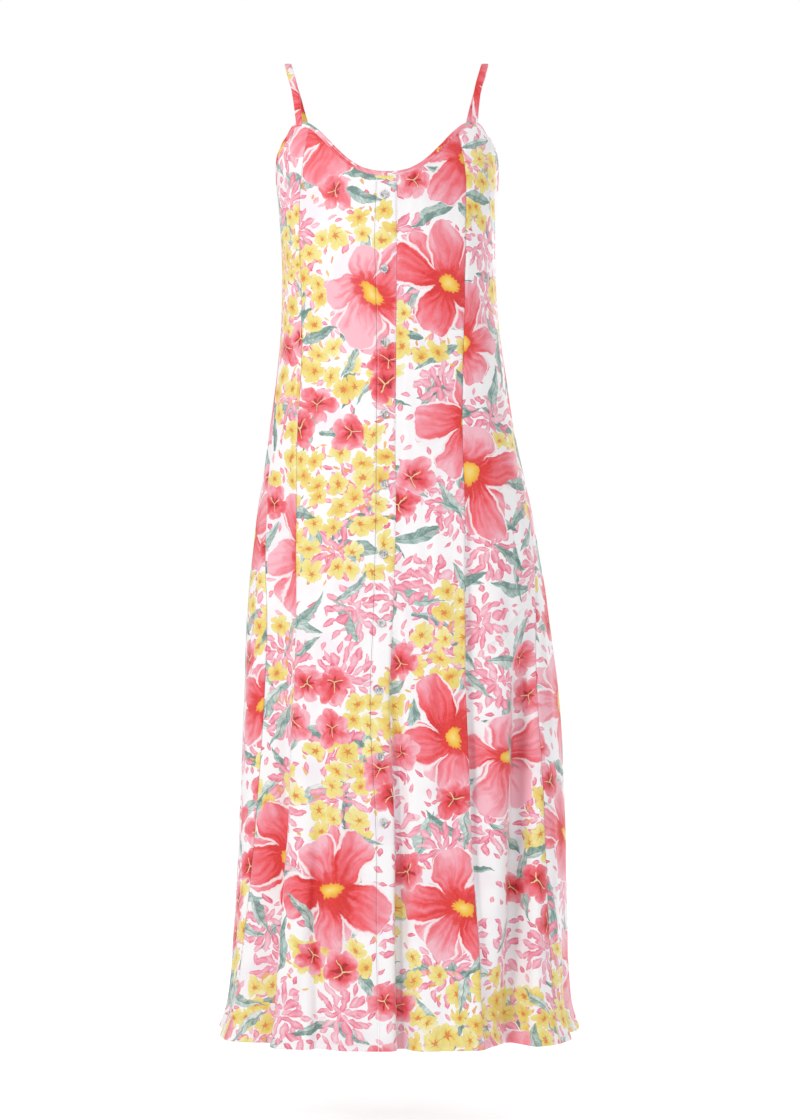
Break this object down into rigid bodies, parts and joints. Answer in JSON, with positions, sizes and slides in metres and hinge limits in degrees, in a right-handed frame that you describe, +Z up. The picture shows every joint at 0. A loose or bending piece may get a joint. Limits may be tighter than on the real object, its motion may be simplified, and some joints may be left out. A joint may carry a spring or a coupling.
{
  "type": "maxi dress",
  "caption": "Sleeveless A-line maxi dress with narrow shoulder straps, scoop neck, princess seams and a button front, filled out as worn and open at neck, armholes and hem.",
  "frame": {"origin": "midway between the tops of the two shoulder straps, where the wearer's shoulders carry the dress", "axes": "+Z up, the front faces -Y, +X towards the wearer's left"},
  "size_m": [0.5026, 0.3715, 1.3502],
  "materials": {
    "printed_cloth": "light woven viscose with a soft sheen, printed with coral, yellow and grey-green flowers on white",
    "rouleau_cloth": "the same printed viscose cut on the bias and turned into a narrow tube",
    "button": "glossy pearly white"
  },
  "bodies": {
    "root": {"front_right": "printed_cloth", "button_placket": "printed_cloth", "front_left": "printed_cloth", "side_front_right": "printed_cloth", "side_front_left": "printed_cloth", "back": "printed_cloth", "neck_binding_right": "rouleau_cloth", "neck_binding_left": "rouleau_cloth", "back_binding": "rouleau_cloth", "arm_binding_right": "rouleau_cloth", "arm_binding_left": "rouleau_cloth", "strap_right": "rouleau_cloth", "strap_left": "rouleau_cloth", "button_01": "button", "button_02": "button", "button_03": "button", "button_04": "button", "button_05": "button", "button_06": "button", "button_07": "button", "button_08": "button", "button_09": "button", "button_10": "button"}
  },
  "joints": []
}
